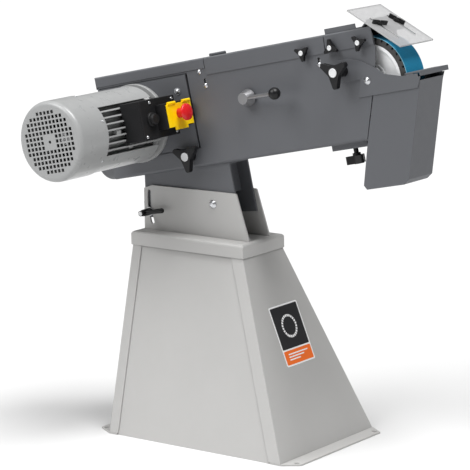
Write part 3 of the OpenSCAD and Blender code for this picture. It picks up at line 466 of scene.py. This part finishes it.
def repeat_tree(name, source, material):
    """Geometry Nodes: repeats a source shape, scaled and turned, on a mesh's points."""
    group = bpy.data.node_groups.new(name, "GeometryNodeTree")
    for label, side, kind in (("Geometry", "INPUT", "NodeSocketGeometry"),
                              ("Radius", "INPUT", "NodeSocketFloat"),
                              ("Turn", "INPUT", "NodeSocketRotation"),
                              ("Geometry", "OUTPUT", "NodeSocketGeometry")):
        group.interface.new_socket(label, in_out=side, socket_type=kind)
    tree = Tree(group)
    given = group.nodes.new("NodeGroupInput").outputs
    shape = tree.add("GeometryNodeObjectInfo", {"Object": source}).outputs["Geometry"]
    copies = tree.add("GeometryNodeInstanceOnPoints", {
        "Points": given["Geometry"], "Instance": shape, "Rotation": given["Turn"],
        "Scale": given["Radius"]}).outputs["Instances"]
    real = tree.add("GeometryNodeRealizeInstances", {"Geometry": copies}).outputs[0]
    smooth = tree.add("GeometryNodeSetShadeSmooth", {"Geometry": real}).outputs[0]
    painted = tree.add("GeometryNodeSetMaterial", {
        "Geometry": smooth, "Material": material}).outputs[0]
    tree.add("NodeGroupOutput", {"Geometry": painted})
    return group


def repeated(name, group, places, axis, radius, body):
    """Puts a repeated shape on places, facing along an axis, as one plain mesh."""
    mesh = bpy.data.meshes.new(name)
    mesh.from_pydata([tuple(place) for place in places], [], [])
    thing = bpy.data.objects.new(name, mesh)
    bpy.context.scene.collection.objects.link(thing)
    modifier = thing.modifiers.new("repeat", "NODES")
    modifier.node_group = group
    sockets = {item.name: item.identifier for item in group.interface.items_tree
               if item.in_out == "INPUT"}
    modifier[sockets["Radius"]] = radius / 1000
    modifier[sockets["Turn"]] = tuple(Vector(axis).to_track_quat("Z", "Y").to_euler())
    applied(thing)
    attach(thing, body)
    return thing


screws = repeat_tree("screw_places", screw_head(), zinc)
lid_u = -31.8
repeated("lid_screws", screws, [on_arm(lid_u, y, rise) for y, rise in (
    (-176.0, 279.0), (-206.0, 197.0), (-90.0, 279.0), (-90.0, 197.0))], head_axis, 4.0,
         "head")
motor_along, motor_rise = -184.0, 231.0
cowl_screws, cowl_first_turn = 6, 15
cowl_screw_across, cowl_skin_radius = -296.0, 0.0998
for number in range(cowl_screws):
    turn = math.radians(cowl_first_turn + number * 360 / cowl_screws)
    outward = head_axis * math.cos(turn) + head_rise * math.sin(turn)
    foot = on_arm(motor_along, cowl_screw_across, motor_rise) + outward * cowl_skin_radius
    repeated(f"cowl_screw_{number}", screws, [foot], outward, 3.2, "head")

# ---- Motor frame webs ----
# Cast ribs and a boss that tie the cooling fins together, in the enamel of the frame
# they are cast with.


def fin_web(name, from_turn, to_turn, near, far, inner, outer):
    """A curved bar between the fins: part of a ring about the motor's axis."""
    steps = 10
    shape = bmesh.new()
    rows = []
    for step in range(steps + 1):
        turn = math.radians(from_turn + (to_turn - from_turn) * step / steps)
        outward = head_axis * math.cos(turn) + head_rise * math.sin(turn)
        rows.append([shape.verts.new(on_arm(motor_along, -depth, motor_rise)
                                     + outward * radius / 1000)
                     for radius, depth in ((inner, near), (outer, near), (outer, far),
                                           (inner, far))])
    for low, high in zip(rows, rows[1:]):
        for corner in range(4):
            after = (corner + 1) % 4
            shape.faces.new((low[corner], low[after], high[after], high[corner]))
    shape.faces.new(rows[0])
    shape.faces.new(rows[-1])
    bmesh.ops.recalc_face_normals(shape, faces=shape.faces)
    mesh = bpy.data.meshes.new(name)
    shape.to_mesh(mesh)
    shape.free()
    mesh.materials.append(motor_enamel)
    thing = bpy.data.objects.new(name, mesh)
    bpy.context.scene.collection.objects.link(thing)
    bevel = thing.modifiers.new("edges", "BEVEL")
    bevel.width, bevel.segments = 0.0012, 2
    applied(thing)
    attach(thing, "head")


frame_core, web_reach = 78.5, 37.0
fin_web("fin_web_middle", -web_reach, web_reach, 176.0, 190.0, frame_core, 91.0)
fin_web("fin_web_front", -web_reach, web_reach, 80.0, 92.0, frame_core, 90.0)
fin_web("fin_boss", -9.0, -1.0, 232.0, 248.0, frame_core, 94.0)
fin_web("fin_web_rear", 180.0 - web_reach, 180.0 + web_reach, 176.0, 190.0, frame_core, 91.0)

# ---- Cable gland ----
# A black plastic nut with a domed cap, where the supply cable enters the terminal box.
# It is screwed into the box's lid.

gland_profile = [(0, 0), (17, 0), (17, 5), (15.5, 6.5), (13.2, 6.8), (13.2, 14),
                 (12, 16.3), (7.5, 16.5), (7, 12), (0, 12)]
gland_place = on_arm(lid_u - 0.4, -180.0, 238.0)
turned("gland_nut", gland_profile, gland_place, head_axis, black_plastic, "head",
       steps=36)

# ---- Contact wheel ----
# A turned aluminium hub with a bonded tyre of serrated black rubber, on an axle that a
# steel arm carries. The tension lever's pinion moves the arm by its rack.

cast_aluminium = finish("cast_aluminium", (0.88, 0.89, 0.9), 0.45, drift=0.08,
                        grain=0.0005, relief=0.2, dust=0.0, metallic=0.12)
tyre_rubber = finish("tyre_rubber", (0.05, 0.049, 0.048), 0.75, drift=0.25, grain=0.0008,
                     relief=0.5, dust=0.1)
rounded("wheel_hub", cast_aluminium, edge=0.0008)
rounded("wheel_tyre", tyre_rubber, edge=0.0004)
paint(turned_steel, "wheel_arm", "wheel_axle", "wheel_bearings", "tension_pinion")
dish_profile = [(22, -26.5), (32, -28.0), (34, -30.5), (36.5, -30.5), (38.5, -28.4),
                (66, -28.4), (70, -29.6), (76.3, -34.0), (76.3, -28.0), (22, -20.6)]
wheel_place = on_arm(535.0, 0.0, 239.0)
turned("hub_dish", dish_profile, wheel_place, -toward_motor, cast_aluminium,
       "contact_wheel", steps=96)

# ---- Abrasive belt ----
# A joined loop of blue abrasive on cloth, 75 mm wide. The cut edges show the lighter
# backing, and the grit is a fine sparkle of dark and light grains.

belt_half = (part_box("abrasive_belt")[1].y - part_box("abrasive_belt")[0].y) / 2
belt_cloth, tree, shader = new_material("belt_cloth", (0.0, 0.14, 0.3, 1.0), 0.75)
belt_place = tree.add("ShaderNodeTexCoord").outputs["Object"]
grit = tree.add("ShaderNodeTexNoise", {"Vector": belt_place, "Scale": 1500.0,
                                       "Detail": 2.0}).outputs["Fac"]
wear = tree.add("ShaderNodeTexNoise", {"Vector": belt_place, "Scale": 60.0,
                                       "Detail": 3.0}).outputs["Fac"]
across = tree.math("ABSOLUTE", tree.add("ShaderNodeSeparateXYZ", {0: belt_place}).outputs["Y"])
cut_edge = tree.spread(across, belt_half - 0.0012, belt_half - 0.0006)
grains = tree.mix(tree.spread(grit, 0.35, 0.65), (0.0, 0.11, 0.23, 1.0),
                  (0.0, 0.27, 0.46, 1.0))
worn = tree.mix(tree.spread(wear, 0.45, 0.8, 0.0, 0.3), grains, (0.01, 0.14, 0.25, 1.0))
cloth = tree.mix(cut_edge, worn, (0.25, 0.55, 0.7, 1.0))
belt_bump = tree.add("ShaderNodeBump", {"Height": grit, "Strength": 0.7, "Distance": 0.0002})
tree.tree.links.new(cloth, shader.inputs["Base Color"])
tree.tree.links.new(belt_bump.outputs["Normal"], shader.inputs["Normal"])
rounded("abrasive_belt", belt_cloth, edge=0.00012, steps=1, angle=60.0)

# ---- Clear shield ----
# A sheet of clear polycarbonate, a little hazy, with sawn edges that catch the light.


def polycarbonate(name, clearness):
    """Hazy clear plastic; clearness is the middle of its alpha."""
    material, tree, shader = new_material(name, (0.46, 0.46, 0.465, 1.0), 0.12, IOR=1.2,
                                          Alpha=clearness)
    haze = tree.add("ShaderNodeTexNoise", {
        "Vector": tree.add("ShaderNodeTexCoord").outputs["Object"], "Scale": 25.0,
        "Detail": 4.0}).outputs["Fac"]
    tree.tree.links.new(tree.spread(haze, 0.0, 1.0, clearness - 0.06, clearness + 0.06),
                        shader.inputs["Alpha"])
    tree.tree.links.new(tree.spread(haze, 0.3, 0.7, 0.08, 0.2), shader.inputs["Roughness"])
    return material


clear_sheet = polycarbonate("clear_sheet", 0.55)
sawn_edge = polycarbonate("sawn_edge", 0.85)
shield_sheet = rounded("shield", clear_sheet, edge=0.0004)
shield_sheet.data.materials.append(sawn_edge)
sheet_facing = max(shield_sheet.data.polygons, key=lambda face: face.area).normal.copy()
flat_or_edge = 0.9
for face in shield_sheet.data.polygons:
    face.material_index = 0 if abs(face.normal.dot(sheet_facing)) > flat_or_edge else 1

# ---- Stand label ----
# A printed foil on the slanted front sheet: a pale border round a black field and an
# orange field, with a plain ring and plain bars. It carries no words.

sheet_foot = Vector((0.272, 0.0, 0.0))
sheet_top = Vector((0.083, 0.0, 0.47))
sheet_up = (sheet_top - sheet_foot).normalized()
sheet_out = Vector((sheet_up.z, 0.0, -sheet_up.x))
sheet_side = Vector((0.0, 1.0, 0.0))
label_height, label_aside = 0.2735, 0.007
label_middle = sheet_foot + sheet_up * (label_height / sheet_up.z) + sheet_side * label_aside


def foil(name, outline, lift, colour):
    """A flat printed patch on the front sheet, from an outline in millimetres."""
    mesh = bpy.data.meshes.new(name)
    mesh.from_pydata([tuple(label_middle + sheet_side * x / 1000 + sheet_up * y / 1000
                            + sheet_out * lift) for x, y in outline], [],
                     [tuple(range(len(outline)))])
    mesh.materials.append(finish(name, colour, 0.35, drift=0.04, grain=0.001, relief=0.05,
                                 dust=0.02))
    thing = bpy.data.objects.new(name, mesh)
    bpy.context.scene.collection.objects.link(thing)
    wall = thing.modifiers.new("wall", "SOLIDIFY")
    wall.thickness = 0.0002
    wall.offset = -1.0
    applied(thing)
    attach(thing, "stand")


def patch(left, bottom, right, top, radius):
    """The outline of a rectangle with round corners."""
    points = []
    for x, y, start in ((right - radius, top - radius, 0), (left + radius, top - radius, 90),
                        (left + radius, bottom + radius, 180),
                        (right - radius, bottom + radius, 270)):
        points += [(x + radius * math.cos(math.radians(start + 90 * step / 6)),
                    y + radius * math.sin(math.radians(start + 90 * step / 6)))
                   for step in range(7)]
    return points


pale_print, black_print, orange_print = (0.85, 0.85, 0.85), (0.018, 0.018, 0.02), (
    0.85, 0.16, 0.02)
border_lift, field_lift, figure_lift = 0.0004, 0.0007, 0.001
foil("label_border", patch(-59, -77, 59, 77, 4), border_lift, pale_print)
foil("label_upper_field", patch(-55, -34, 55, 73, 2.5), field_lift, black_print)
foil("label_lower_field", patch(-55, -73, 55, -38, 2.5), field_lift, orange_print)
for number, rise in enumerate((-49.0, -56.0, -63.0)):
    foil(f"label_bar_{number}", patch(-40, rise, 40 - 18 * number, rise + 3, 1.2),
         figure_lift, pale_print)
dashes, dash_share = 24, 0.72
ring_inner, ring_outer, ring_middle = 24, 30, 20
for number in range(dashes):
    start, end = (math.tau * (number + part) / dashes for part in (0, dash_share))
    foil(f"label_ring_{number}",
         [(radius * math.cos(turn), ring_middle + radius * math.sin(turn))
          for radius, turn in ((ring_outer, start), (ring_outer, end), (ring_inner, end),
                               (ring_inner, start))], figure_lift, pale_print)
